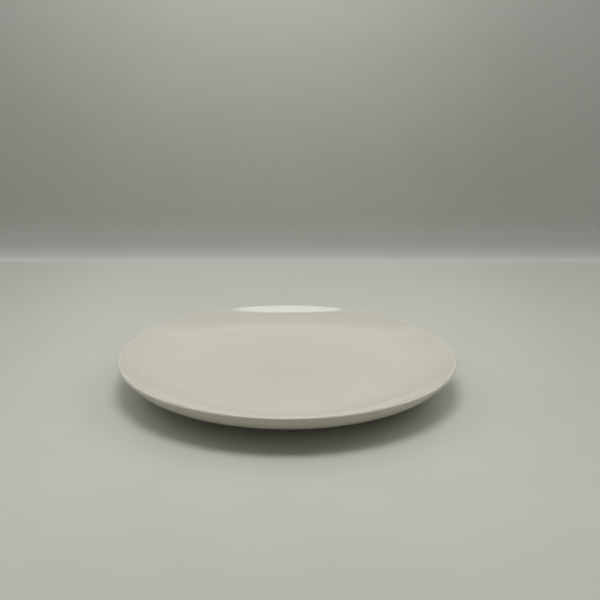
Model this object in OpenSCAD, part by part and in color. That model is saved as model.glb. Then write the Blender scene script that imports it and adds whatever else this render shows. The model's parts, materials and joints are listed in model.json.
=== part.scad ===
// Coupe dinner plate: fired clay that sweeps up to a rounded lip, on a foot ring, under two coats of glaze.
// The origin is at the centre of the foot's tread, on the table, with +Z up.
// Sizes are of the finished, glazed plate, in millimetres. The clay lies one glaze thickness inside them.

/* [Plate] */
// Diameter over the rim
plate_d = 270; // [240:1:300]
// Thickness of the wall between the rim and the foot
wall_t = 7; // [5.6:0.1:8]

/* [Rim] */
// Thickness of the rounded lip
lip_t = 3; // [2.4:0.1:3.6]
// Slope of the face where it meets the lip, in degrees
lip_slope = 32; // [28:1:36]
// Radius of the turn on the outside, just below the lip
outer_turn_r = 27; // [22:0.5:32]

/* [Well] */
// Depth of the flat floor below the lip's crest
well_depth = 15.4; // [12:0.2:20]
// Thickness of the flat floor
floor_t = 5.6; // [4.4:0.1:7]

/* [Foot] */
// Outer diameter of the foot ring
foot_d = 164; // [140:1:180]
// Width of the foot ring
foot_w = 5.2; // [4:0.1:8]
// Height of the hollow inside the foot ring
foot_h = 5; // [4.4:0.1:8]
// Radius of the fillets at the ring's root, outside and inside
root_r = 1.2; // [0.8:0.1:1.6]
// Rounding of the tread's two edges
tread_r = 1; // [0.4:0.1:1.2]

/* [Glaze] */
// Thickness of the glaze
glaze_t = 0.4; // [0.3:0.05:0.6]
// Height of the bare clay between the table and the edge of the glaze
bare_h = 1.2; // [1.2:0.1:1.8]

/* [Hidden] */
$fn = 180;
// Straight steps along each arc of the section
arc_steps = 12;
clay_colour = [0.82, 0.78, 0.70];
glaze_colour = [0.79, 0.78, 0.71];

// Heights of the face's flat floor and of the lip's crest
floor_z = foot_h + floor_t;
plate_h = floor_z + well_depth;

// The lip: a round whose centre stands half a lip inside the rim and below the crest
lip_r = lip_t / 2;
lip_centre = [plate_d / 2 - lip_r, plate_h - lip_r];

// The face's long sweep is tangent to the lip and to the flat floor
sweep_r = (lip_centre.y + lip_r * cos(lip_slope) - floor_z) / (1 - cos(lip_slope));
sweep_centre = lip_centre - (lip_r + sweep_r) * down(lip_slope);

// Outside, a sweep one wall thickness below the face's is tangent to the outer turn, and that to the lip
under_sweep_r = sweep_r + wall_t;
outer_turn_centre = meet(lip_centre, sweep_centre, outer_turn_r - lip_r, under_sweep_r - outer_turn_r);
outer_lip_slope = slope_from(outer_turn_centre, lip_centre);
outer_sweep_slope = slope_from(sweep_centre, outer_turn_centre);

// The fillet outside the foot's root lies against the under sweep, or the flat where that reaches further
foot_r = foot_d / 2;
foot_inner_r = foot_r - foot_w;
root_run = max(0, foot_r + root_r - sweep_centre.x);
root_slope = asin(root_run / (under_sweep_r + root_r));
root_centre = [foot_r + root_r, sweep_centre.y - (under_sweep_r + root_r) * cos(root_slope)];

// The fillet inside the foot ring, between its wall and the base
recess_centre = [foot_inner_r - root_r, foot_h - root_r];

// Unit vector square to a surface of the given slope, pointing down and outwards
function down(slope) = [sin(slope), -cos(slope)];

// Slope of a surface whose downward normal runs from one point to another
function slope_from(from, to) = atan2(to.x - from.x, from.y - to.y);

// The point that lies at one distance from p and another from q, on the side nearer the axis
function meet(p, q, p_reach, q_reach) =
    let (
        apart = norm(q - p),
        along = (p_reach * p_reach - q_reach * q_reach + apart * apart) / (2 * apart),
        aside = sqrt(p_reach * p_reach - along * along),
        unit = (q - p) / apart
    )
    p + along * unit + aside * [-unit.y, unit.x];

// Points along an arc, at angles measured from the outward direction
function arc(centre, radius, from, to) = [
    for (i = [0 : arc_steps])
        let (angle = from + (to - from) * i / arc_steps)
        centre + radius * [cos(angle), sin(angle)]
];

function reversed(points) = [for (i = [len(points) - 1 : -1 : 0]) points[i]];

// The section's upper line, from the axis over the lip to the foot's outer root, at a depth inside the surface
function upper_line(depth) = concat(
    [[0, floor_z - depth]],
    arc(sweep_centre, sweep_r + depth, -90, lip_slope - 90),
    arc(lip_centre, lip_r - depth, lip_slope + 90, outer_lip_slope - 90),
    arc(outer_turn_centre, outer_turn_r - depth, outer_lip_slope - 90, outer_sweep_slope - 90),
    arc(sweep_centre, under_sweep_r - depth, outer_sweep_slope - 90, root_slope - 90),
    arc(root_centre, root_r + depth, root_slope + 90, 180)
);

// The line of the base, from the foot ring's inner wall to the axis, at a depth inside the surface
function base_line(depth) = concat(
    arc(recess_centre, root_r + depth, 0, 90),
    [[0, foot_h + depth]]
);

// The bare tread, from the foot's outer wall to its inner one
function tread_line(outer_r, inner_r) = concat(
    arc([outer_r - tread_r, tread_r], tread_r, 0, -90),
    arc([inner_r + tread_r, tread_r], tread_r, -90, -180)
);

// Fired clay: face, rim and foot ring in one piece, with the foot's tread left bare
module ceramic_body()
    color(clay_colour)
    rotate_extrude()
    polygon(concat(
        upper_line(glaze_t),
        tread_line(foot_r - glaze_t, foot_inner_r + glaze_t),
        base_line(glaze_t)
    ));

// Glaze over the face, the lip and the outside, down to its edge on the foot's outer wall
module glaze_coat()
    color(glaze_colour)
    rotate_extrude()
    polygon(concat(
        upper_line(0),
        [[foot_r, bare_h], [foot_r - glaze_t, bare_h]],
        reversed(upper_line(glaze_t))
    ));

// Glaze on the base inside the foot ring, down to its edge on the foot's inner wall
module glaze_base()
    color(glaze_colour)
    rotate_extrude()
    polygon(concat(
        [[foot_inner_r, bare_h]],
        base_line(0),
        reversed(base_line(glaze_t)),
        [[foot_inner_r + glaze_t, bare_h]]
    ));

ceramic_body();
glaze_coat();
glaze_base();
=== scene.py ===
"""A coupe dinner plate in ivory glaze, dressed around its CAD frame on a pale grey sweep."""

import json
import logging
import math
from collections.abc import Callable
from dataclasses import astuple, dataclass
from enum import Enum

import bpy
from mathutils import Matrix, Vector


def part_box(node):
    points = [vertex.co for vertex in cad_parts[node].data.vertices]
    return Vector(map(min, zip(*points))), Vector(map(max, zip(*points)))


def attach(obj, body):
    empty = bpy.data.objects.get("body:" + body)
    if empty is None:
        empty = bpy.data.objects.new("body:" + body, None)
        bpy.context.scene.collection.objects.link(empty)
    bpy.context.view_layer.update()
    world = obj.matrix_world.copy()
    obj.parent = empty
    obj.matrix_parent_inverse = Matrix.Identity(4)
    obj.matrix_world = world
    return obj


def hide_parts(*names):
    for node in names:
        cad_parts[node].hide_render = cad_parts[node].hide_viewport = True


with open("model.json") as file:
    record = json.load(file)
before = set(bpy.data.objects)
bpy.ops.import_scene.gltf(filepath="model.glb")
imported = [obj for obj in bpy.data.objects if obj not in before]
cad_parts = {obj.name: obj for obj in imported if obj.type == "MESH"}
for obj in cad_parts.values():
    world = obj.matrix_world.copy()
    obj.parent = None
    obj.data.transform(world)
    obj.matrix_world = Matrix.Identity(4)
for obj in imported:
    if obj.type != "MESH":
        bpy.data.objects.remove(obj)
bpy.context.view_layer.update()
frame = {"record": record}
LOG = logging.getLogger("plate")

Colour = tuple[float, float, float]
Place = tuple[float, float, float]
Span = tuple[float, float]
Faces = list[tuple[int, ...]]
NodeTree = bpy.types.NodeTree
Node = bpy.types.Node
Socket = bpy.types.NodeSocket
Material = bpy.types.Material
Object = bpy.types.Object

# Angles in the section, in degrees from the outward direction
OUTWARD = 0.0
UPWARD = 90.0
INWARD = 180.0
DOWNWARD = -90.0

# Depth of the finished surface, the even coat of glaze, and a point that fully follows the wiped edge
SURFACE = 0.0
FULL_COAT = 1.0
WIPED = 1.0

# Angle in degrees past which an edge of a mesh is kept sharp
CORNER = 40.0

# Values of the shaders: two plain ranges, the range that most of a noise lies in, and black
RISE: Span = (0.0, 1.0)
FADE: Span = (1.0, 0.0)
NOISE_SPAN: Span = (0.3, 0.7)
BLACK: Colour = (0.0, 0.0, 0.0)

# The point attribute that holds the glaze's thickness, and the socket type of the shared effects
GLAZE_DEPTH = "glaze_depth"
VALUE_SOCKET = "NodeSocketFloat"

# Places of the colours among a mix node's sockets
MIX_FIRST = 6
MIX_SECOND = 7
MIX_RESULT = 2


class Slot(Enum):
    """The record's material slots."""

    CLAY = "clay"
    GLAZE = "glaze"
    BASE_GLAZE = "base_glaze"


class Axis(Enum):
    """The axes that the stage's tone, with its painted light and shade, changes along."""

    X = "X"
    Y = "Y"
    Z = "Z"


class LampShape(Enum):
    """The outlines of the lamps."""

    PANEL = "RECTANGLE"
    OVAL = "ELLIPSE"

    @property
    def fill(self) -> float:
        """Share of its width times its height that the outline fills."""
        return math.pi / 4 if self is LampShape.OVAL else 1.0


# Section of the plate

@dataclass(frozen=True)
class Station:
    """One point of a section that is turned about the plate's axis.

    Args:
        radius: Distance from the axis.
        height: Height above the table.
        glaze: Glaze thickness there, as a share of the full coat.
        wander: How far the point follows the hand-wiped glaze edge, from 0 to 1.
    """

    radius: float
    height: float
    glaze: float = FULL_COAT
    wander: float = 0.0


def as_stations(points: list[Vector], glaze: float = FULL_COAT, wander: float = 0.0) -> list[Station]:
    """Return stations along points, all with the same glaze thickness and wander."""
    return [Station(p.x, p.y, glaze, wander) for p in points]


def down(slope: float) -> Vector:
    """Return the unit vector square to a surface of this slope in degrees, pointing down and outwards."""
    return Vector((math.sin(math.radians(slope)), -math.cos(math.radians(slope))))


def slope_from(start: Vector, end: Vector) -> float:
    """Return the slope in degrees of a surface whose downward normal runs from start to end."""
    return math.degrees(math.atan2(end.x - start.x, start.y - end.y))


def meet(p: Vector, q: Vector, p_reach: float, q_reach: float) -> Vector:
    """Find the point at one distance from p and another from q, on the side nearer the axis.

    Args:
        p: First centre.
        q: Second centre.
        p_reach: Distance from p.
        q_reach: Distance from q.

    Returns:
        The point of the section.
    """
    apart = (q - p).length
    along = (p_reach ** 2 - q_reach ** 2 + apart ** 2) / (2 * apart)
    aside = math.sqrt(p_reach ** 2 - along ** 2)
    unit = (q - p) / apart
    return p + along * unit + aside * Vector((-unit.y, unit.x))


def arc(centre: Vector, radius: float, start: float, end: float, steps: int) -> list[Vector]:
    """Return points along an arc, both ends included.

    Args:
        centre: Centre of the arc.
        radius: Its radius.
        start: First angle in degrees from the outward direction.
        end: Last angle in degrees.
        steps: Number of straight steps.

    Returns:
        The points.
    """
    angles = [math.radians(start + (end - start) * i / steps) for i in range(steps + 1)]
    return [centre + radius * Vector((math.cos(a), math.sin(a))) for a in angles]


@dataclass(frozen=True)
class Section:
    """The plate's section, in metres, with the outer sizes read from the frame.

    Args:
        plate_r: Radius of the rim.
        crest_z: Height of the lip's crest.
        floor_z: Height of the flat floor.
        foot_inner_r: Radius of the foot ring's inner wall.
        foot_h: Height of the hollow inside the foot ring.
        bare_h: Height of the bare clay below the glaze edge.
        glaze_t: Thickness of the glaze.
        wall_t: Thickness of the wall.
        lip_t: Thickness of the lip.
        lip_slope: Slope of the face at the lip, in degrees.
        outer_turn_r: Radius of the outside's turn.
        foot_w: Width of the foot ring.
        root_r: Fillet at the foot's root.
        tread_r: Rounding of the tread's edges.
        face_steps: Straight steps up the face's sweep.
        lip_steps: Straight steps round the lip, and down the outside's turn.
        under_steps: Straight steps along the sweep on the underside.
        fine_steps: Straight steps round a fillet or an edge.
        floor_rings: Rings across the flat floor.
    """

    plate_r: float
    crest_z: float
    floor_z: float
    foot_inner_r: float
    foot_h: float
    bare_h: float
    glaze_t: float = 0.0004
    wall_t: float = 0.007
    lip_t: float = 0.003
    lip_slope: float = 32.0
    outer_turn_r: float = 0.027
    foot_w: float = 0.0052
    root_r: float = 0.0012
    tread_r: float = 0.001
    face_steps: int = 60
    lip_steps: int = 28
    under_steps: int = 30
    fine_steps: int = 14
    floor_rings: int = 6

    @classmethod
    def from_frame(cls) -> "Section":
        """Read the sizes that the CAD frame gives.

        Returns:
            The section.
        """
        coat_low, coat_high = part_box("glaze_coat")
        _, base_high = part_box("glaze_base")
        floor = next(m for m in frame["record"]["mounts"] if m["name"] == "well_floor")
        return cls(
            plate_r=coat_high.x,
            crest_z=coat_high.z,
            floor_z=floor["pos_m"][2],
            foot_inner_r=base_high.x - cls.glaze_t,
            foot_h=base_high.z - cls.glaze_t,
            bare_h=coat_low.z,
        )

    @property
    def foot_r(self) -> float:
        """Radius of the glazed foot's outer wall."""
        return self.foot_inner_r + self.foot_w

    @property
    def lip_r(self) -> float:
        """Radius of the lip's round."""
        return self.lip_t / 2

    @property
    def lip_centre(self) -> Vector:
        """Centre of the lip's round."""
        return Vector((self.plate_r - self.lip_r, self.crest_z - self.lip_r))

    @property
    def sweep_r(self) -> float:
        """Radius of the long sweep between the lip and the floor."""
        tilt = math.cos(math.radians(self.lip_slope))
        return (self.lip_centre.y + self.lip_r * tilt - self.floor_z) / (1 - tilt)

    @property
    def sweep_centre(self) -> Vector:
        """Centre of the long sweep, above the edge of the flat floor."""
        return self.lip_centre - (self.lip_r + self.sweep_r) * down(self.lip_slope)

    @property
    def under_sweep_r(self) -> float:
        """Radius of the sweep on the underside."""
        return self.sweep_r + self.wall_t

    @property
    def outer_turn_centre(self) -> Vector:
        """Centre of the turn below the lip on the outside."""
        reaches = (self.outer_turn_r - self.lip_r, self.under_sweep_r - self.outer_turn_r)
        return meet(self.lip_centre, self.sweep_centre, *reaches)

    @property
    def outer_lip_slope(self) -> float:
        """Slope in degrees of the outside where the lip meets the turn."""
        return slope_from(self.outer_turn_centre, self.lip_centre)

    @property
    def outer_sweep_slope(self) -> float:
        """Slope in degrees of the outside where the turn meets the sweep on the underside."""
        return slope_from(self.sweep_centre, self.outer_turn_centre)

    @property
    def root_slope(self) -> float:
        """Slope in degrees of the underside where the foot's fillet begins."""
        run = max(0.0, self.foot_r + self.root_r - self.sweep_centre.x)
        return math.degrees(math.asin(run / (self.under_sweep_r + self.root_r)))

    @property
    def root_centre(self) -> Vector:
        """Centre of the fillet outside the foot's root."""
        drop = (self.under_sweep_r + self.root_r) * math.cos(math.radians(self.root_slope))
        return Vector((self.foot_r + self.root_r, self.sweep_centre.y - drop))

    def floor_line(self, depth: float) -> list[Vector]:
        """Return points from the axis across the flat floor, at a depth below the finished surface."""
        edge = self.sweep_centre.x
        return [Vector((edge * i / self.floor_rings, self.floor_z - depth)) for i in range(self.floor_rings)]

    def face_line(self, depth: float) -> list[Vector]:
        """Return points up the sweep to the lip, at a depth below the finished surface."""
        end = self.lip_slope + DOWNWARD
        return arc(self.sweep_centre, self.sweep_r + depth, DOWNWARD, end, self.face_steps)

    def lip_line(self, depth: float) -> list[Vector]:
        """Return points over the lip, at a depth below the finished surface."""
        ends = (self.lip_slope + UPWARD, self.outer_lip_slope + DOWNWARD)
        return arc(self.lip_centre, self.lip_r - depth, *ends, self.lip_steps)[1:]

    def outer_line(self, depth: float) -> list[Vector]:
        """Find points down the outside to the foot's root.

        Args:
            depth: Depth below the finished surface.

        Returns:
            The points.
        """
        top = self.outer_lip_slope + DOWNWARD
        joint = self.outer_sweep_slope + DOWNWARD
        root = self.root_slope + DOWNWARD
        turn = arc(self.outer_turn_centre, self.outer_turn_r - depth, top, joint, self.lip_steps)
        sweep = arc(self.sweep_centre, self.under_sweep_r - depth, joint, root, self.under_steps)
        return turn[1:] + sweep[1:]

    def root_line(self, depth: float) -> list[Vector]:
        """Return points round the fillet outside the foot's root, at a depth below the finished surface."""
        start = self.root_slope + UPWARD
        return arc(self.root_centre, self.root_r + depth, start, INWARD, self.fine_steps)[1:]

    def upper_line(self, depth: float) -> list[Vector]:
        """Return points from the axis over the lip to the foot's root, at a depth below the surface."""
        face = self.floor_line(depth) + self.face_line(depth) + self.lip_line(depth)
        return face + self.outer_line(depth) + self.root_line(depth)

    def recess_line(self, depth: float) -> list[Vector]:
        """Return points from the foot's inner wall over the fillet to the flat base, at a depth."""
        centre = Vector((self.foot_inner_r - self.root_r, self.foot_h - self.root_r))
        return arc(centre, self.root_r + depth, OUTWARD, UPWARD, self.fine_steps)

    def base_line(self, depth: float) -> list[Vector]:
        """Find points across the flat base to the axis.

        Args:
            depth: Depth inside the finished surface.

        Returns:
            The points.
        """
        edge = self.foot_inner_r - self.root_r
        rings = reversed(range(self.floor_rings))
        return [Vector((edge * i / self.floor_rings, self.foot_h + depth)) for i in rings]

    def tread_line(self) -> list[Vector]:
        """Find points round the bare tread, from the foot's outer wall to its inner one.

        Returns:
            The points.
        """
        outer = Vector((self.foot_r - self.glaze_t - self.tread_r, self.tread_r))
        inner = Vector((self.foot_inner_r + self.glaze_t + self.tread_r, self.tread_r))
        first = arc(outer, self.tread_r, OUTWARD, DOWNWARD, self.fine_steps)
        return first + arc(inner, self.tread_r, DOWNWARD, -INWARD, self.fine_steps)

    def edge_line(self, clay_r: float, start: float) -> list[Vector]:
        """Return a coat's rounded lower edge on clay of this radius, a quarter turn from this angle."""
        centre = Vector((clay_r, self.bare_h + self.glaze_t))
        return arc(centre, self.glaze_t, start, start + DOWNWARD, self.fine_steps)


# Turning a section into a mesh

def make_object(name: str, points: list[Vector], faces: Faces) -> Object:
    """Make an object of points and faces, smooth but for its corners.

    Args:
        name: Name of the object.
        points: Its points.
        faces: Its faces.

    Returns:
        The new object.
    """
    mesh = bpy.data.meshes.new(name)
    mesh.from_pydata(points, [], faces)
    mesh.polygons.foreach_set("use_smooth", [True] * len(mesh.polygons))
    mesh.set_sharp_from_angle(angle=math.radians(CORNER))
    made = bpy.data.objects.new(name, mesh)
    bpy.context.scene.collection.objects.link(made)
    return made


@dataclass(frozen=True)
class Lathe:
    """Turns a section about the plate's axis.

    Args:
        sides: Steps round the axis.
        wander: Height of the glaze edge's waves, in metres.
        waves: Waves round the foot and the angle in degrees at which each starts.
    """

    sides: int = 240
    wander: float = 0.00016
    waves: tuple[tuple[int, float], ...] = ((3, 20.0), (7, 145.0), (11, 260.0), (19, 75.0))

    def wave(self, angle: float) -> float:
        """Return how far the glaze edge stands above its mean line at this angle in radians."""
        total = sum(math.sin(count * angle + math.radians(start)) / count for count, start in self.waves)
        return self.wander * total * self.waves[0][0]

    def turn(self, name: str, stations: list[Station]) -> Object:
        """Turn a closed section whose two ends lie on the axis.

        Args:
            name: Name of the piece.
            stations: The section's points in order.

        Returns:
            The new object, with the glaze's thickness at each point.
        """
        points: list[Vector] = []
        depths: list[float] = []
        rings: list[list[int]] = []
        for station in stations:
            on_axis = station.radius == 0
            ring = []
            for i in range(1 if on_axis else self.sides):
                angle = 2 * math.pi * i / self.sides
                lift = station.wander * self.wave(angle)
                x = station.radius * math.cos(angle)
                y = station.radius * math.sin(angle)
                ring.append(len(points))
                points.append(Vector((x, y, station.height + lift)))
                depths.append(station.glaze)
            rings.append(ring)
        faces = [f for upper, lower in zip(rings, rings[1:]) for f in self.band(upper, lower)]
        piece = make_object(name, points, faces)
        depth = piece.data.attributes.new(GLAZE_DEPTH, "FLOAT", "POINT")
        depth.data.foreach_set("value", depths)
        return piece

    def band(self, upper: list[int], lower: list[int]) -> Faces:
        """Join two neighbouring rings, either of which may be one point on the axis.

        Args:
            upper: Points of the first ring.
            lower: Points of the next.

        Returns:
            The faces between them.
        """
        faces = []
        for i in range(self.sides):
            j = (i + 1) % self.sides
            if len(upper) == 1:
                faces.append((upper[0], lower[i], lower[j]))
            elif len(lower) == 1:
                faces.append((upper[i], lower[0], upper[j]))
            else:
                faces.append((upper[i], lower[i], lower[j], upper[j]))
        return faces


# Shared shader effects

def add(tree: NodeTree, kind: str, **values: object) -> Node:
    """Add a node to a tree and set its properties.

    Args:
        tree: The tree that takes it.
        kind: The node's type.
        **values: Properties to set on it.

    Returns:
        The new node.
    """
    node = tree.nodes.new(kind)
    for key, value in values.items():
        setattr(node, key, value)
    return node


def feed(tree: NodeTree, target: Socket, source: object) -> None:
    """Link a socket to a target, or set the target's own value.

    Args:
        tree: The tree that holds them.
        target: The socket that is fed.
        source: A socket or a plain value.
    """
    if isinstance(source, bpy.types.NodeSocket):
        tree.links.new(source, target)
    else:
        target.default_value = source


def maths(tree: NodeTree, operation: str, *inputs: object) -> Socket:
    """Add a math node.

    Args:
        tree: The tree that takes it.
        operation: The sum that it does.
        *inputs: Sockets or numbers, in order.

    Returns:
        The result's socket.
    """
    node = add(tree, "ShaderNodeMath", operation=operation)
    for target, source in zip(node.inputs, inputs):
        feed(tree, target, source)
    return node.outputs["Value"]


def ramp(tree: NodeTree, value: Socket, span: tuple[object, object], result: Span) -> Socket:
    """Map a value smoothly from one range to another.

    Args:
        tree: The tree that takes it.
        value: The value to map.
        span: Where the range begins and ends, as sockets or numbers.
        result: The result at the beginning and at the end.

    Returns:
        The result's socket.
    """
    node = add(tree, "ShaderNodeMapRange", interpolation_type="SMOOTHSTEP")
    names = ("Value", "From Min", "From Max", "To Min", "To Max")
    for name, source in zip(names, (value, *span, *result)):
        feed(tree, node.inputs[name], source)
    return node.outputs["Result"]


def blend(tree: NodeTree, factor: Socket, first: object, second: object) -> Socket:
    """Mix two colours by a factor.

    Args:
        tree: The tree that takes the node.
        factor: Share of the second colour.
        first: The first colour or its socket.
        second: The second.

    Returns:
        The result's socket.
    """
    node = add(tree, "ShaderNodeMix", data_type="RGBA")
    feed(tree, node.inputs["Factor"], factor)
    feed(tree, node.inputs[MIX_FIRST], first)
    feed(tree, node.inputs[MIX_SECOND], second)
    return node.outputs[MIX_RESULT]


def rgba(colour: Colour) -> tuple[float, float, float, float]:
    """Return a linear colour with full alpha."""
    return (*colour, 1.0)


@dataclass(frozen=True)
class Noise:
    """The values of a cloud or ring effect.

    Args:
        per_metre: Waves to the metre.
        detail: How many times finer waves are laid on top.
    """

    per_metre: float
    detail: float


@dataclass(frozen=True)
class Spots:
    """The values of a speck effect.

    Args:
        per_metre: Cells to the metre.
        share: Share of the cells that hold a spot.
        width: Radius of the widest spot, in cells.
    """

    per_metre: float
    share: float
    width: float


@dataclass(frozen=True)
class Effect:
    """A shader node group that several finishes share, built once.

    Args:
        name: The group's name.
        inputs: The names of its inputs, in the order of its values.
        output: The name of its output.
        wire: Function that fills the tree, given its inputs and outputs.
    """

    name: str
    inputs: tuple[str, ...]
    output: str
    wire: Callable[[NodeTree, Node, Node], None]

    def tree(self) -> NodeTree:
        """Find the group's tree, making it the first time.

        Returns:
            The tree.
        """
        made = bpy.data.node_groups.get(self.name)
        if made:
            return made
        made = bpy.data.node_groups.new(self.name, "ShaderNodeTree")
        for name in self.inputs:
            made.interface.new_socket(name, in_out="INPUT", socket_type=VALUE_SOCKET)
        made.interface.new_socket(self.output, in_out="OUTPUT", socket_type=VALUE_SOCKET)
        self.wire(made, add(made, "NodeGroupInput"), add(made, "NodeGroupOutput"))
        return made

    def place(self, tree: NodeTree, values: Noise | Spots) -> Socket:
        """Place the group in a material.

        Args:
            tree: The material's tree.
            values: The values of its inputs there.

        Returns:
            The socket of its output.
        """
        node = add(tree, "ShaderNodeGroup", node_tree=self.tree())
        for target, value in zip(node.inputs, astuple(values)):
            target.default_value = value
        return node.outputs[self.output]


def wire_specks(tree: NodeTree, given: Node, made: Node) -> None:
    """Fill the speck group: round spots in a chosen share of cells.

    Args:
        tree: The group's tree.
        given: Its inputs.
        made: Its outputs.
    """
    place = add(tree, "ShaderNodeTexCoord").outputs["Object"]
    cells = add(tree, "ShaderNodeTexVoronoi", feature="F1")
    feed(tree, cells.inputs["Vector"], place)
    feed(tree, cells.inputs["Scale"], given.outputs["Per Metre"])
    chance = add(tree, "ShaderNodeSeparateColor")
    feed(tree, chance.inputs["Color"], cells.outputs["Color"])
    picked = maths(tree, "LESS_THAN", chance.outputs["Red"], given.outputs["Share"])
    width = maths(tree, "MULTIPLY", given.outputs["Width"], chance.outputs["Green"])
    spot = ramp(tree, cells.outputs["Distance"], (0.0, width), FADE)
    feed(tree, made.inputs["Mask"], maths(tree, "MULTIPLY", picked, spot))


def wire_clouds(tree: NodeTree, given: Node, made: Node) -> None:
    """Fill the cloud group: a slow change across the glaze, the clay or the paper.

    Args:
        tree: The group's tree.
        given: Its inputs.
        made: Its outputs.
    """
    place = add(tree, "ShaderNodeTexCoord").outputs["Object"]
    noise = add(tree, "ShaderNodeTexNoise")
    feed(tree, noise.inputs["Vector"], place)
    feed(tree, noise.inputs["Scale"], given.outputs["Per Metre"])
    feed(tree, noise.inputs["Detail"], given.outputs["Detail"])
    feed(tree, made.inputs["Value"], noise.outputs["Fac"])


def wire_rings(tree: NodeTree, given: Node, made: Node) -> None:
    """Fill the ring group: turning marks that run round the axis.

    Args:
        tree: The group's tree.
        given: Its inputs.
        made: Its outputs.
    """
    place = add(tree, "ShaderNodeTexCoord").outputs["Object"]
    flat = add(tree, "ShaderNodeVectorMath", operation="MULTIPLY")
    feed(tree, flat.inputs[0], place)
    feed(tree, flat.inputs[1], (1.0, 1.0, 0.0))
    radius = add(tree, "ShaderNodeVectorMath", operation="LENGTH")
    feed(tree, radius.inputs[0], flat.outputs["Vector"])
    stretched = maths(tree, "MULTIPLY", radius.outputs["Value"], given.outputs["Per Metre"])
    noise = add(tree, "ShaderNodeTexNoise", noise_dimensions="1D")
    feed(tree, noise.inputs["W"], stretched)
    feed(tree, noise.inputs["Scale"], 1.0)
    feed(tree, noise.inputs["Detail"], given.outputs["Detail"])
    feed(tree, made.inputs["Height"], noise.outputs["Fac"])


SPECKS = Effect("fired_specks", ("Per Metre", "Share", "Width"), "Mask", wire_specks)
CLOUDS = Effect("slow_clouds", ("Per Metre", "Detail"), "Value", wire_clouds)
RINGS = Effect("turning_rings", ("Per Metre", "Detail"), "Height", wire_rings)


# Finishes

def new_material(name: str) -> tuple[Material, Node]:
    """Make a material.

    Args:
        name: Its name.

    Returns:
        The material and its Principled shader.
    """
    material = bpy.data.materials.new(name)
    material.use_nodes = True
    return material, material.node_tree.nodes["Principled BSDF"]


def add_bump(tree: NodeTree, shader: Node, height: Socket, distance: float) -> None:
    """Bump a shader's normal by a height field.

    Args:
        tree: The material's tree.
        shader: The shader that is bumped.
        height: The height field.
        distance: Height of a full step in it, in metres.
    """
    bump = add(tree, "ShaderNodeBump")
    bump.inputs["Strength"].default_value = 1.0
    bump.inputs["Distance"].default_value = distance
    feed(tree, bump.inputs["Height"], height)
    feed(tree, shader.inputs["Normal"], bump.outputs["Normal"])


@dataclass(frozen=True)
class GlazeFinish:
    """Glossy ivory glaze, a little paler where the coat runs thinner and greyer where it gathers; the paler
    lip crest is also a painted highlight, and the greyer middle of the well also painted shade.

    Args:
        name: The material's name.
        tone: Colour of the full coat, linear.
        warm: Colour of the slow warm clouds.
        thin_and_lit: Colour where the coat runs thinner, which on the lip's crest also paints a pale
            highlight line.
        pooled_and_shaded: Colour where the coat is thick, which in the middle of the well is also painted
            shade.
        speck: Colour of the few iron specks under the glaze.
        clouds: Scale of the clouds.
        cloud_span: Values of the clouds between which the colour turns warm.
        thin_span: Shares of the full coat between which it turns to the thin colour.
        pool_span: Shares of the full coat between which it turns to the pooled one.
        specks: Scale of the specks.
        speck_share: How strongly they show through the glaze.
        shine: Lowest and highest roughness.
        sheen: Scale of the roughness's slow change.
        ior: Index of refraction.
        ripple: Height of the glaze's soft waves, in metres.
        waves: Scale of the waves.
        rings: Scale of the turning marks under the glaze.
        ring_share: How strongly they show through, against the waves.
        pits: Scale of the pinholes.
    """

    name: str
    tone: Colour = (0.654, 0.644, 0.560)
    warm: Colour = (0.664, 0.649, 0.558)
    thin_and_lit: Colour = (0.695, 0.682, 0.593)
    pooled_and_shaded: Colour = (0.570, 0.564, 0.500)
    speck: Colour = (0.235, 0.200, 0.150)
    clouds: Noise = Noise(26.0, 2.0)
    cloud_span: Span = (0.35, 0.70)
    thin_span: Span = (0.95, 0.60)
    pool_span: Span = (1.05, 1.50)
    specks: Spots = Spots(230.0, 0.04, 0.10)
    speck_share: float = 0.35
    shine: Span = (0.03, 0.06)
    sheen: Noise = Noise(90.0, 3.0)
    ior: float = 1.39
    ripple: float = 0.000008
    waves: Noise = Noise(180.0, 1.0)
    rings: Noise = Noise(420.0, 2.0)
    ring_share: float = 0.2
    pits: Spots = Spots(420.0, 0.02, 0.12)

    def material(self) -> Material:
        """Build the material.

        Returns:
            The material.
        """
        material, shader = new_material(self.name)
        tree = material.node_tree
        depth = add(tree, "ShaderNodeAttribute", attribute_name=GLAZE_DEPTH).outputs["Fac"]
        cloudy = ramp(tree, CLOUDS.place(tree, self.clouds), self.cloud_span, RISE)
        colour = blend(tree, cloudy, rgba(self.tone), rgba(self.warm))
        # Thinner glaze turns paler, which on the lip's crest is also a painted highlight
        colour = blend(tree, ramp(tree, depth, self.thin_span, RISE), colour, rgba(self.thin_and_lit))
        # Thicker glaze turns greyer, which in the middle of the well is also painted shade
        colour = blend(tree, ramp(tree, depth, self.pool_span, RISE), colour, rgba(self.pooled_and_shaded))
        specks = maths(tree, "MULTIPLY", SPECKS.place(tree, self.specks), self.speck_share)
        colour = blend(tree, specks, colour, rgba(self.speck))
        feed(tree, shader.inputs["Base Color"], colour)
        sheen = CLOUDS.place(tree, self.sheen)
        feed(tree, shader.inputs["Roughness"], ramp(tree, sheen, NOISE_SPAN, self.shine))
        shader.inputs["IOR"].default_value = self.ior
        rings = maths(tree, "MULTIPLY", RINGS.place(tree, self.rings), self.ring_share)
        height = maths(tree, "ADD", CLOUDS.place(tree, self.waves), rings)
        height = maths(tree, "SUBTRACT", height, SPECKS.place(tree, self.pits))
        add_bump(tree, shader, height, self.ripple)
        return material


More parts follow.
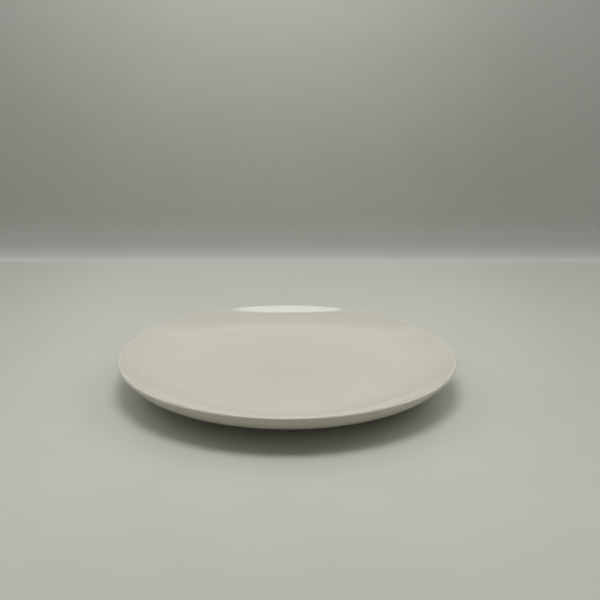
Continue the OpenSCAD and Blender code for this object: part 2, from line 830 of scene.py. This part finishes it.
@dataclass(frozen=True)
class ClayFinish:
    """Bare fired stoneware: dry, speckled and ringed by the turning tool, rubbed grey on the tread.

    Args:
        name: The material's name.
        tone: Colour of the clay, linear.
        pale: Colour of its paler grains.
        iron: Colour of its iron specks.
        rubbed: Colour that use leaves on the tread.
        grains: Scale of the grains.
        pale_span: Values of the grains between which the colour turns pale.
        rings: Scale of the turning rings.
        specks: Scale of the iron specks.
        tread_z: Height up to which the tread is rubbed, in metres.
        rub_span: Values of the rings between which the rubbing deepens.
        rub_share: How deep it is at least and at most.
        dryness: Lowest and highest roughness.
        relief: Height of the grains and the rings, in metres.
    """

    name: str
    tone: Colour = (0.460, 0.395, 0.300)
    pale: Colour = (0.560, 0.500, 0.400)
    iron: Colour = (0.120, 0.080, 0.055)
    rubbed: Colour = (0.330, 0.300, 0.255)
    grains: Noise = Noise(1500.0, 4.0)
    pale_span: Span = (0.4, 0.7)
    rings: Noise = Noise(1600.0, 3.0)
    specks: Spots = Spots(700.0, 0.18, 0.35)
    tread_z: float = 0.00035
    rub_span: Span = (0.35, 0.65)
    rub_share: Span = (0.25, 0.80)
    dryness: Span = (0.70, 0.92)
    relief: float = 0.00006

    def material(self) -> Material:
        """Build the material.

        Returns:
            The material.
        """
        material, shader = new_material(self.name)
        tree = material.node_tree
        grains = CLOUDS.place(tree, self.grains)
        rings = RINGS.place(tree, self.rings)
        colour = blend(tree, ramp(tree, grains, self.pale_span, RISE), rgba(self.tone), rgba(self.pale))
        colour = blend(tree, SPECKS.place(tree, self.specks), colour, rgba(self.iron))
        axes = add(tree, "ShaderNodeSeparateXYZ")
        feed(tree, axes.inputs["Vector"], add(tree, "ShaderNodeTexCoord").outputs["Object"])
        low = ramp(tree, axes.outputs["Z"], (0.0, self.tread_z), FADE)
        rubbed = maths(tree, "MULTIPLY", low, ramp(tree, rings, self.rub_span, self.rub_share))
        colour = blend(tree, rubbed, colour, rgba(self.rubbed))
        feed(tree, shader.inputs["Base Color"], colour)
        feed(tree, shader.inputs["Roughness"], ramp(tree, grains, NOISE_SPAN, self.dryness))
        add_bump(tree, shader, maths(tree, "ADD", grains, rings), self.relief)
        return material


@dataclass(frozen=True)
class LightGrade:
    """A smooth change of the stage's tone along one axis: painted light and shade, where the lamps' light
    falls off.

    Args:
        axis: The axis.
        reach: Where it begins and ends, in metres.
        shares: Share of the tone up to its beginning and past its end.
    """

    axis: Axis
    reach: Span
    shares: Span


@dataclass(frozen=True)
class PaintedLightPool:
    """A painted patch of light: a paler round part of the stage's tone.

    Args:
        centre: Its centre.
        reach: Distances from the centre at which it begins to fade and has faded out, in metres.
        shares: Share of the tone at those distances.
    """

    centre: Place
    reach: Span
    shares: Span


@dataclass(frozen=True)
class StageFinish:
    """Matt paper for the stage, faintly mottled, with painted light and shade across it, seen only from its
    lit side.

    Args:
        name: The material's name.
        tone: Colour of the paper, linear.
        lift: Strength of its glow to the camera, mirrors and glass alone, which softens the shadow.
        light_grades: Painted light and shade, as changes of its tone one on top of the other.
        light_pool: A painted patch of light, where there is one.
        roughness: Roughness of the paper.
        mottling: Scale of the mottling.
        mottle: How far the mottling darkens the paper.
    """

    name: str
    tone: Colour
    lift: float
    light_grades: tuple[LightGrade, ...] = ()
    light_pool: PaintedLightPool | None = None
    roughness: float = 0.35
    mottling: Noise = Noise(14.0, 3.0)
    mottle: float = 0.02

    def material(self) -> Material:
        """Build the material.

        Returns:
            The material.
        """
        material, shader = new_material(self.name)
        tree = material.node_tree
        colour = blend(tree, self.share(tree), rgba(BLACK), rgba(self.tone))
        feed(tree, shader.inputs["Base Color"], colour)
        shader.inputs["Roughness"].default_value = self.roughness
        rays = add(tree, "ShaderNodeLightPath").outputs
        seen = maths(tree, "MAXIMUM", rays["Is Camera Ray"], rays["Is Glossy Ray"])
        seen = maths(tree, "MAXIMUM", seen, rays["Is Transmission Ray"])
        shader.inputs["Emission Color"].default_value = rgba(self.tone)
        feed(tree, shader.inputs["Emission Strength"], maths(tree, "MULTIPLY", seen, self.lift))
        clear = add(tree, "ShaderNodeBsdfTransparent")
        sides = add(tree, "ShaderNodeMixShader")
        feed(tree, sides.inputs["Fac"], add(tree, "ShaderNodeNewGeometry").outputs["Backfacing"])
        feed(tree, sides.inputs[1], shader.outputs["BSDF"])
        feed(tree, sides.inputs[2], clear.outputs["BSDF"])
        feed(tree, tree.nodes["Material Output"].inputs["Surface"], sides.outputs["Shader"])
        return material

    def share(self, tree: NodeTree) -> Socket:
        """Work out the share of the tone at each place, from the mottling, the painted light and shade along
        the axes and the painted patch of light.

        Args:
            tree: The material's tree.

        Returns:
            The share's socket.
        """
        place = add(tree, "ShaderNodeTexCoord").outputs["Object"]
        axes = add(tree, "ShaderNodeSeparateXYZ")
        feed(tree, axes.inputs["Vector"], place)
        share = ramp(tree, CLOUDS.place(tree, self.mottling), NOISE_SPAN, (1.0, 1.0 - self.mottle))
        # Painted light and shade along the axes
        for light_grade in self.light_grades:
            step = ramp(tree, axes.outputs[light_grade.axis.value], light_grade.reach, light_grade.shares)
            share = maths(tree, "MULTIPLY", share, step)
        # A painted patch of light
        if self.light_pool:
            away = add(tree, "ShaderNodeVectorMath", operation="DISTANCE")
            feed(tree, away.inputs[0], place)
            feed(tree, away.inputs[1], self.light_pool.centre)
            step = ramp(tree, away.outputs["Value"], self.light_pool.reach, self.light_pool.shares)
            share = maths(tree, "MULTIPLY", share, step)
        return share


# The plate's pieces

@dataclass
class PlatePiece:
    """One piece of the plate that stands for a CAD node.

    Args:
        section: The plate's section.
        lathe: What turns it.
        name: Name of the piece.
        node: The CAD node that it replaces.
        slot: The record's material slot; nothing reads it.
    """

    section: Section
    lathe: Lathe
    name: str
    node: str
    slot: Slot

    def stations(self) -> list[Station]:
        """Return the piece's closed section. Each piece gives its own."""
        raise NotImplementedError

    def finish(self) -> Material:
        """Return the piece's material. Each piece gives its own."""
        raise NotImplementedError

    def build(self) -> Object:
        """Turn the piece and place it on the plate's body.

        Returns:
            The piece.
        """
        piece = self.lathe.turn(self.name, self.stations())
        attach(piece, "root")
        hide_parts(self.node)
        return piece

    def dress(self, piece: Object) -> None:
        """Give the piece its finish."""
        piece.data.materials.append(self.finish())


@dataclass
class ClayBody(PlatePiece):
    """The fired clay plate, bare on the foot ring's tread."""

    name: str = "plate_clay_body"
    node: str = "ceramic_body"
    slot: Slot = Slot.CLAY

    def stations(self) -> list[Station]:
        """Find the clay's section, one glaze thickness inside the finished plate.

        Returns:
            The stations.
        """
        s = self.section
        base = s.recess_line(s.glaze_t) + s.base_line(s.glaze_t)
        return as_stations(s.upper_line(s.glaze_t) + s.tread_line() + base)

    def finish(self) -> Material:
        """Return bare stoneware."""
        return ClayFinish("bare_stoneware").material()


@dataclass
class GlazeCoat(PlatePiece):
    """The glaze over the face, the lip and the outside, ending in a soft edge on the foot.

    Args:
        well_pool_and_shade_share: Glaze gathered in the middle of the well, as a share of the full coat; it
            greys the middle, partly as gathered glaze and partly as painted shade.
        lip_thin_and_lit_share: Glaze left over the lip's crest, so little that its paler colour also paints
            a highlight line there.
        root_share: Glaze gathered in the fillet above the foot.
        edge_share: Glaze at its edge above the bare clay.
    """

    name: str = "plate_glaze_coat"
    node: str = "glaze_coat"
    slot: Slot = Slot.GLAZE
    well_pool_and_shade_share: float = 1.20
    lip_thin_and_lit_share: float = 0.55
    root_share: float = 1.4
    edge_share: float = 0.7

    def stations(self) -> list[Station]:
        """Find the coat's section: out over the finished surface and back along the clay.

        Returns:
            The stations.
        """
        s = self.section
        face = self.well() + as_stations(s.face_line(SURFACE)) + self.lip()
        outside = as_stations(s.outer_line(SURFACE)) + as_stations(s.root_line(SURFACE), self.root_share)
        edge = as_stations(s.edge_line(s.foot_r - s.glaze_t, OUTWARD), self.edge_share, WIPED)
        return face + outside + edge + as_stations(s.upper_line(s.glaze_t)[::-1])

    def well(self) -> list[Station]:
        """Find the flat floor's stations, with the most glaze at the axis, which greys the middle of the
        well: gathered glaze and painted shade.

        Returns:
            The stations.
        """
        s = self.section
        made = []
        for p in s.floor_line(SURFACE):
            near = 1.0 - (p.x / s.sweep_centre.x) ** 2
            made.append(Station(p.x, p.y, FULL_COAT + (self.well_pool_and_shade_share - FULL_COAT) * near))
        return made

    def lip(self) -> list[Station]:
        """Find the lip's stations, with the least glaze at the crest, which turns it paler: thinner glaze
        and a painted highlight.

        Returns:
            The stations.
        """
        s = self.section
        made = []
        for p in s.lip_line(SURFACE):
            rise = max(0.0, (p.y - s.lip_centre.y) / s.lip_r)
            made.append(Station(p.x, p.y, FULL_COAT + (self.lip_thin_and_lit_share - FULL_COAT) * rise))
        return made

    def finish(self) -> Material:
        """Return ivory glaze."""
        return GlazeFinish("ivory_glaze").material()


@dataclass
class BaseGlaze(PlatePiece):
    """The island of glaze on the base inside the foot ring.

    Args:
        corner_share: Glaze gathered in the corner of the base, as a share of the full coat.
        edge_share: Glaze at its edge above the bare clay.
        ring_share: How strongly the turning marks show through it.
    """

    name: str = "plate_glaze_base"
    node: str = "glaze_base"
    slot: Slot = Slot.BASE_GLAZE
    corner_share: float = 1.4
    edge_share: float = 0.7
    ring_share: float = 0.6

    def stations(self) -> list[Station]:
        """Find the island's section: out from the axis along the clay and back over the finished surface.

        Returns:
            The stations.
        """
        s = self.section
        clay = as_stations((s.recess_line(s.glaze_t) + s.base_line(s.glaze_t))[::-1])
        edge = as_stations(s.edge_line(s.foot_inner_r + s.glaze_t, DOWNWARD), self.edge_share, WIPED)
        corner = as_stations(s.recess_line(SURFACE), self.corner_share)
        return clay + edge + corner + as_stations(s.base_line(SURFACE))

    def finish(self) -> Material:
        """Return the same glaze with the turning marks showing a little more."""
        return GlazeFinish("ivory_base_glaze", ring_share=self.ring_share).material()


# The studio

@dataclass(frozen=True)
class Stage:
    """The paper that the plate stands on, with a wall on each side of it.

    Args:
        half_width: From the plate's axis to each side wall, in metres.
        side_h: Height of the side walls.
        back: From the plate's axis to where the floor turns up into the back wall.
        front: From the plate's axis to the foot of the front wall, behind the camera.
        wall: Points up the back wall, outward from its foot and upward.
        tone: Colour of the paper on the floor and the plain walls, linear.
        wall_lit_tone: Colour of the back wall's paper, painted paler than the floor's to stand in for the
            light on the wall.
        wall_roughness: Roughness of the back wall's paper.
        lift: Strength of the paper's glow to the camera, which softens the shadow.
        wall_lift: The same for the back wall.
        floor_light_grades: Painted light and shade on the floor, as changes of its tone.
        wall_light_grades: Painted light and shade on the back wall, as changes of its tone.
        wall_light_pool: The painted patch of light high on the back wall.
    """

    half_width: float = 0.92
    side_h: float = 0.45
    back: float = 0.382
    front: float = -1.3
    wall: tuple[Span, ...] = (
        (0.0, 0.0), (0.006, 0.001), (0.012, 0.0032), (0.017, 0.0066), (0.021, 0.0118),
        (0.024, 0.019), (0.0265, 0.030), (0.028, 0.046), (0.029, 0.10), (0.032, 0.16),
        (0.039, 0.24), (0.051, 0.33), (0.070, 0.43),
    )
    tone: Colour = (0.606, 0.606, 0.549)
    # The back wall's paper is painted paler than the floor's, as painted light on the wall
    wall_lit_tone: Colour = (0.937, 0.947, 0.891)
    wall_roughness: float = 0.8
    lift: float = 0.010
    wall_lift: float = 0.006
    # Painted shade on the floor: darker towards the sides and the front, where the lamps' light falls off
    floor_light_grades: tuple[LightGrade, ...] = (
        LightGrade(Axis.X, (0.10, 0.35), (1.0, 0.82)),
        LightGrade(Axis.X, (-0.16, -0.32), (1.0, 0.85)),
        LightGrade(Axis.Y, (0.30, 0.0), (0.99, 1.0)),
        LightGrade(Axis.Y, (-0.15, -0.45), (1.0, 0.91)),
    )
    # Painted light and shade on the back wall: darker low in the cove, paler higher up, darker towards the
    # sides
    wall_light_grades: tuple[LightGrade, ...] = (
        LightGrade(Axis.Z, (0.0, 0.004), (0.62, 0.53)),
        LightGrade(Axis.Z, (0.008, 0.030), (0.98, 1.13)),
        LightGrade(Axis.X, (0.05, 0.35), (1.0, 0.94)),
        LightGrade(Axis.X, (-0.12, -0.35), (1.0, 0.97)),
    )
    # A painted patch of light high on the back wall
    wall_light_pool: PaintedLightPool = PaintedLightPool((-0.03, 0.43, 0.40), (0.0, 0.44), (1.69, 1.0))

    def build(self) -> list[Object]:
        """Make the floor and the four walls.

        Returns:
            The stage's pieces.
        """
        side = self.half_width
        rear = self.back + self.wall[-1][0]
        return [
            self.floor(),
            self.back_wall(),
            self.plain_wall("studio_wall_right", (side, rear), (side, self.front)),
            self.plain_wall("studio_wall_front", (side, self.front), (-side, self.front)),
            self.plain_wall("studio_wall_left", (-side, self.front), (-side, rear)),
        ]

    def floor(self) -> Object:
        """Make the floor and dress it.

        Returns:
            The floor.
        """
        xs = (-self.half_width, self.half_width)
        points = [Vector((x, y, 0.0)) for y in (self.front, self.back) for x in xs]
        finish = StageFinish("grey_floor_paper_painted_shade", self.tone, self.lift, self.floor_light_grades)
        return self.placed("studio_floor", points, [(0, 1, 3, 2)], finish)

    def back_wall(self) -> Object:
        """Make the back wall and dress it.

        Returns:
            The wall.
        """
        xs = (-self.half_width, self.half_width)
        points = [Vector((x, self.back + out, height)) for out, height in self.wall for x in xs]
        faces = [(2 * i, 2 * i + 1, 2 * i + 3, 2 * i + 2) for i in range(len(self.wall) - 1)]
        looks = (self.wall_lit_tone, self.wall_lift, self.wall_light_grades, self.wall_light_pool, self.wall_roughness)
        return self.placed("studio_wall_back", points, faces, StageFinish("grey_back_paper_painted_light", *looks))

    def plain_wall(self, name: str, start: Span, end: Span) -> Object:
        """Make a plain upright wall out of the picture and dress it.

        Args:
            name: Name of the wall.
            start: X and Y of one end of its foot.
            end: X and Y of the other end.

        Returns:
            The wall.
        """
        points = [Vector((*place, height)) for place in (start, end) for height in (0.0, self.side_h)]
        finish = StageFinish("grey_side_paper", self.tone, self.lift)
        return self.placed(name, points, [(0, 2, 3, 1)], finish)

    def placed(self, name: str, points: list[Vector], faces: Faces, finish: StageFinish) -> Object:
        """Make a piece of the stage and dress it.

        Args:
            name: Name of the piece.
            points: Its points.
            faces: Its faces.
            finish: Its paper.

        Returns:
            The piece.
        """
        piece = make_object(name, points, faces)
        piece.data.materials.append(finish.material())
        return piece


@dataclass(frozen=True)
class Lamp:
    """A softbox or panel that lights the stage, unseen by the camera.

    Args:
        name: Name of the lamp.
        place: Its centre.
        aim: The direction that it faces.
        width: Its width, in metres.
        height: Its height, or its depth where it hangs flat.
        glow: Brightness of its face, where 1 is white.
        shape: Its outline.
    """

    name: str
    place: Place
    aim: Place
    width: float
    height: float
    glow: float
    shape: LampShape = LampShape.PANEL

    def hang(self) -> Object:
        """Make the lamp and aim it.

        Returns:
            The lamp.
        """
        light = bpy.data.lights.new(self.name, "AREA")
        light.shape = self.shape.value
        light.size = self.width
        light.size_y = self.height
        area = self.width * self.height * self.shape.fill
        light.energy = math.pi * area * self.glow
        lamp = bpy.data.objects.new(self.name, light)
        lamp.location = self.place
        lamp.rotation_euler = Vector(self.aim).to_track_quat("-Z", "Y").to_euler()
        lamp.visible_camera = False
        bpy.context.scene.collection.objects.link(lamp)
        return lamp


SOFTBOX_AIM: Place = (0.0, -0.669, -0.743)
LAMPS = (
    Lamp("softbox_middle", (0.0, 0.20, 1.41), SOFTBOX_AIM, 0.80, 0.787, 5.3, LampShape.OVAL),
    Lamp("softbox_rim", (0.0, 0.20, 1.42), SOFTBOX_AIM, 1.5, 0.787, 1.3, LampShape.OVAL),
    Lamp("left_panel", (-0.8, 0.38, 0.70), (0.8, -0.38, -0.65), 0.9, 0.5, 1.6),
    Lamp("right_panel", (0.8, 0.38, 0.70), (-0.8, -0.38, -0.65), 0.9, 0.5, 1.9),
    Lamp("back_strip", (0.0, 0.44, 0.38), (0.0, -1.0, -0.2), 1.2, 0.16, 0.65),
)


@dataclass(frozen=True)
class Studio:
    """The lamps, the fill light and the camera.

    Args:
        lamps: The softbox, the panels and the strip.
        fill: Strength of the even fill light.
        fill_tone: Colour of the fill light.
        focal: Lens, in millimetres on the default sensor.
        distance: From the camera to the centre of the lip's circle, in metres.
        elevation: Of the camera above that centre, in degrees.
        pitch: Of the camera's aim below the horizon, in degrees.
        yaw: Of its aim to the right, in degrees.
        roll: Of its top to the left, in degrees.
    """

    lamps: tuple[Lamp, ...] = LAMPS
    fill: float = 0.17
    fill_tone: Colour = (1.0, 1.0, 0.97)
    focal: float = 72.0
    distance: float = 0.9633
    elevation: float = 19.39
    pitch: float = 16.81
    yaw: float = 0.63
    roll: float = 0.21

    def fill_light(self) -> None:
        """Fill the room with even light."""
        world = bpy.data.worlds.new("studio_fill")
        world.use_nodes = True
        background = world.node_tree.nodes["Background"]
        background.inputs["Color"].default_value = rgba(self.fill_tone)
        background.inputs["Strength"].default_value = self.fill
        bpy.context.scene.world = world

    def camera(self, crest_z: float) -> Object:
        """Set the camera at the photograph's viewpoint.

        Args:
            crest_z: Height of the lip's crest.

        Returns:
            The camera.
        """
        angles = (self.elevation, self.pitch, self.yaw, self.roll)
        rise, dip, turn, lean = (math.radians(a) for a in angles)
        aim = Vector((math.sin(turn) * math.cos(dip), math.cos(turn) * math.cos(dip), -math.sin(dip)))
        level = Vector((math.cos(turn), -math.sin(turn), 0.0))
        upright = level.cross(aim)
        right = math.cos(lean) * level + math.sin(lean) * upright
        top = math.cos(lean) * upright - math.sin(lean) * level
        place = Vector((0.0, -self.distance * math.cos(rise), crest_z + self.distance * math.sin(rise)))
        data = bpy.data.cameras.new("photo_camera")
        data.lens = self.focal
        camera = bpy.data.objects.new("photo_camera", data)
        turned = Matrix((right, top, -aim)).transposed()
        camera.matrix_world = Matrix.Translation(place) @ turned.to_4x4()
        bpy.context.scene.collection.objects.link(camera)
        bpy.context.scene.camera = camera
        return camera


def main() -> None:
    """Build the studio and the plate's pieces in order, and report each."""
    logging.basicConfig(level=logging.INFO)
    section = Section.from_frame()
    studio = Studio()
    LOG.info("%s: camera", studio.camera(section.crest_z).name)
    for paper in Stage().build():
        LOG.info("%s: stage", paper.name)
    for lamp in studio.lamps:
        LOG.info("%s: lamp", lamp.hang().name)
    studio.fill_light()
    lathe = Lathe()
    for kind in (ClayBody, GlazeCoat, BaseGlaze):
        part = kind(section, lathe)
        piece = part.build()
        part.dress(piece)
        LOG.info("%s: %d faces for %s", piece.name, len(piece.data.polygons), part.node)
    bpy.context.scene.view_settings.view_transform = "Standard"


if __name__ == "__main__":
    main()
